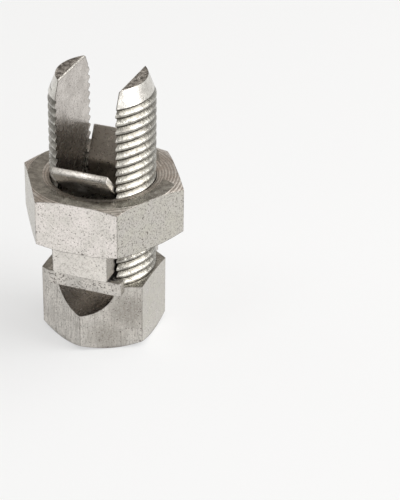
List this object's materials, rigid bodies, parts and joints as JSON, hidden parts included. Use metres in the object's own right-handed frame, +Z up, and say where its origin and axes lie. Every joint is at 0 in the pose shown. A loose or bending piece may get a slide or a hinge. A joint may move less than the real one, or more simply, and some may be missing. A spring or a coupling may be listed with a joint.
{
  "type": "split bolt connector",
  "caption": "Split bolt that clamps electrical conductors in its slot between a round seat, a flanged spacer bar and a pressure bar held captive in the hex nut.",
  "frame": {"origin": "centre of the flat underside of the head", "axes": "+Z up the bolt towards the ends of its legs, Y along the slot and the conductors, X across the two legs"},
  "size_m": [0.0306, 0.027, 0.0506],
  "materials": {
    "bolt_plating": "bright tin plate over drawn and thread-cut copper alloy, faint draw lines",
    "nut_plating": "bright tin plate with fine speckle, turned rings on its end faces",
    "bar_plating": "smooth bright tin plate with sheared ends"
  },
  "bodies": {
    "split_bolt": {"split_bolt": "bolt_plating"},
    "pressure_bar": {"pressure_bar": "bar_plating"},
    "hex_nut": {"hex_nut": "nut_plating"},
    "spacer_bar": {"spacer_bar": "bar_plating"}
  },
  "joints": [
    {"name": "bar_slide", "type": "slide", "parent": "split_bolt", "child": "pressure_bar", "axis": [0, 0, 1], "range_m": [-0.0004, 0.01905]},
    {"name": "nut_turn", "type": "hinge", "parent": "pressure_bar", "child": "hex_nut", "pos_m": [0, 0, 0.0262], "axis": [0, 0, 1], "range_deg": [-90, 4320]},
    {"name": "spacer_slide", "type": "slide", "parent": "split_bolt", "child": "spacer_bar", "axis": [0, 0, 1], "range_m": [-0.0002, 0.00953]}
  ],
  "couplings": [
    {"joint": "bar_slide", "follows": "nut_turn", "m_per_rad": 0.00025266},
    {"joint": "spacer_slide", "follows": "nut_turn", "m_per_rad": 0.00012633}
  ]
}
